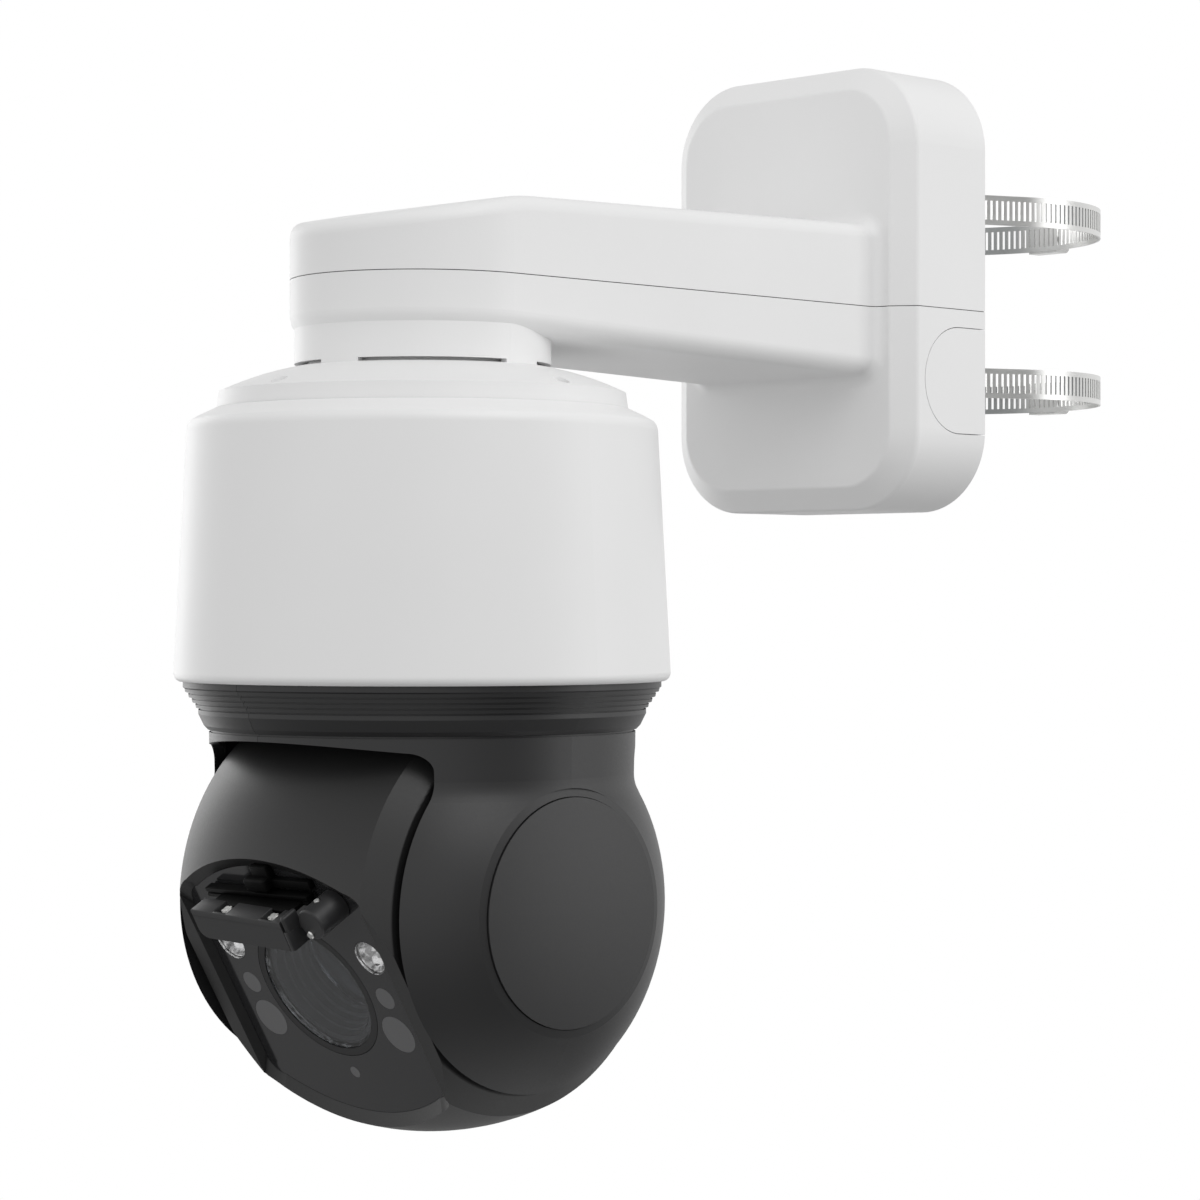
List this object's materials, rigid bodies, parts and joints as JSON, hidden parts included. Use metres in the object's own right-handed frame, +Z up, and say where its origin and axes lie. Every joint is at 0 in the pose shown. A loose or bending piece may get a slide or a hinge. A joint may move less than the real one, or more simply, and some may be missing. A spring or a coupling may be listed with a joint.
{
  "type": "ptz camera",
  "caption": "Outdoor pan-tilt-zoom dome camera on a bracket arm with back box and pole bands, with a lens wiper.",
  "frame": {"origin": "centre of the wall bolt pattern, on the mounting face of the back box", "axes": "+Y into the wall or pole, +Z up, +X to the right for someone facing the wall; the lens looks towards -Y, 30 degrees down"},
  "size_m": [0.224, 0.58, 0.5026],
  "materials": {
    "white_casting": "satin powder coat, fine texture",
    "white_plastic": "satin moulded ASA",
    "seal_rubber": "matte",
    "stainless": "bright",
    "stainless_band": "rolled strip",
    "plated_steel": "zinc plated",
    "cast_aluminium": "as cast",
    "circuit_board": "solder mask",
    "motor_case": "satin",
    "bearing_steel": "ground",
    "inner_plastic": "moulded",
    "gear_brass": "machined",
    "black_plastic": "fine textured mould",
    "black_head_shell": "fine textured mould",
    "dark_window": "polished",
    "clear_window": "polished",
    "tinted_window": "polished",
    "lens_black": "satin",
    "lens_glass": "coated",
    "mirror_reflector": "vacuum metallised",
    "wiper_metal": "satin black",
    "wiper_plastic": "satin",
    "wiper_rubber": "matte"
  },
  "bodies": {
    "bracket": {"arm_lower_casting": "white_casting", "arm_upper_cover": "white_casting", "seam_gasket": "seal_rubber", "arm_cover_screws": "stainless", "conduit_cover_right": "white_casting", "conduit_cover_left": "white_casting", "wall_plate": "plated_steel", "saddle_pads": "seal_rubber", "band_upper": "stainless_band", "band_lower": "stainless_band", "band_worm_housings": "stainless", "band_worm_screws": "stainless", "top_cap": "white_casting", "sun_shield": "white_plastic", "main_housing": "cast_aluminium", "chassis_plate": "cast_aluminium", "main_board": "circuit_board", "pan_motor": "motor_case", "pan_bearing_outer": "bearing_steel", "slip_ring_stator": "inner_plastic", "fan_frame": "inner_plastic"},
    "fan": {"fan_rotor": "inner_plastic"},
    "pan_pinion": {"pan_pinion": "gear_brass"},
    "pan_yoke": {"turntable": "cast_aluminium", "pan_ring_gear": "inner_plastic", "pan_bearing_inner": "bearing_steel", "pan_bearing_balls": "bearing_steel", "slip_ring_rotor": "inner_plastic", "yoke_left": "black_plastic", "yoke_right": "black_plastic", "yoke_screws": "stainless", "side_cap_left": "black_plastic", "side_cap_right": "black_plastic", "tilt_bearings": "bearing_steel", "tilt_motor": "motor_case"},
    "tilt_pinion": {"tilt_pinion": "gear_brass"},
    "head": {"head_front_shell": "black_head_shell", "head_rear_shell": "black_head_shell", "head_cradle": "cast_aluminium", "tilt_gear": "inner_plastic", "window_panel": "dark_window", "upper_lamp_windows": "clear_window", "lower_lamp_windows": "tinted_window", "small_windows": "tinted_window", "lens_ring": "lens_black", "lens_glass": "lens_glass", "lens_barrel": "lens_black", "front_lens_element": "lens_glass", "sensor_board": "circuit_board", "lamp_board": "circuit_board", "lamp_reflectors": "mirror_reflector", "wiper_motor": "motor_case", "wiper_park_stop": "wiper_plastic"},
    "zoom_group": {"zoom_lens_group": "lens_black"},
    "focus_group": {"focus_lens_group": "lens_black"},
    "wiper": {"wiper_hub": "wiper_metal", "wiper_arm": "wiper_metal", "wiper_screws": "stainless", "wiper_blade_holder": "wiper_plastic", "wiper_rubber": "wiper_rubber"}
  },
  "joints": [
    {"name": "pan", "type": "hinge", "parent": "bracket", "child": "pan_yoke", "pos_m": [0, -0.305, -0.2895], "axis": [0, 0, 1], "continuous": true},
    {"name": "pan_pinion_spin", "type": "hinge", "parent": "bracket", "child": "pan_pinion", "pos_m": [0.063, -0.305, -0.16], "axis": [0, 0, 1], "continuous": true},
    {"name": "tilt", "type": "hinge", "parent": "pan_yoke", "child": "head", "pos_m": [0, -0.305, -0.2895], "axis": [1, 0, 0], "range_deg": [-45, 165]},
    {"name": "tilt_pinion_spin", "type": "hinge", "parent": "pan_yoke", "child": "tilt_pinion", "pos_m": [0.081, -0.305, -0.2565], "axis": [1, 0, 0], "range_deg": [-441, 121]},
    {"name": "wiper_sweep", "type": "hinge", "parent": "head", "child": "wiper", "pos_m": [0.042, -0.39878, -0.28707], "axis": [0, -0.866, -0.5], "range_deg": [0, 80]},
    {"name": "zoom", "type": "slide", "parent": "head", "child": "zoom_group", "axis": [0, -0.866, -0.5], "range_m": [-0.014, 0.024]},
    {"name": "focus", "type": "slide", "parent": "head", "child": "focus_group", "axis": [0, -0.866, -0.5], "range_m": [-0.004, 0.004]},
    {"name": "fan_spin", "type": "hinge", "parent": "bracket", "child": "fan", "pos_m": [-0.062, -0.305, -0.145], "axis": [0, 0, 1], "continuous": true}
  ],
  "couplings": [
    {"joint": "pan_pinion_spin", "follows": "pan", "ratio": -4.25},
    {"joint": "tilt_pinion_spin", "follows": "tilt", "ratio": -2.6667}
  ]
}
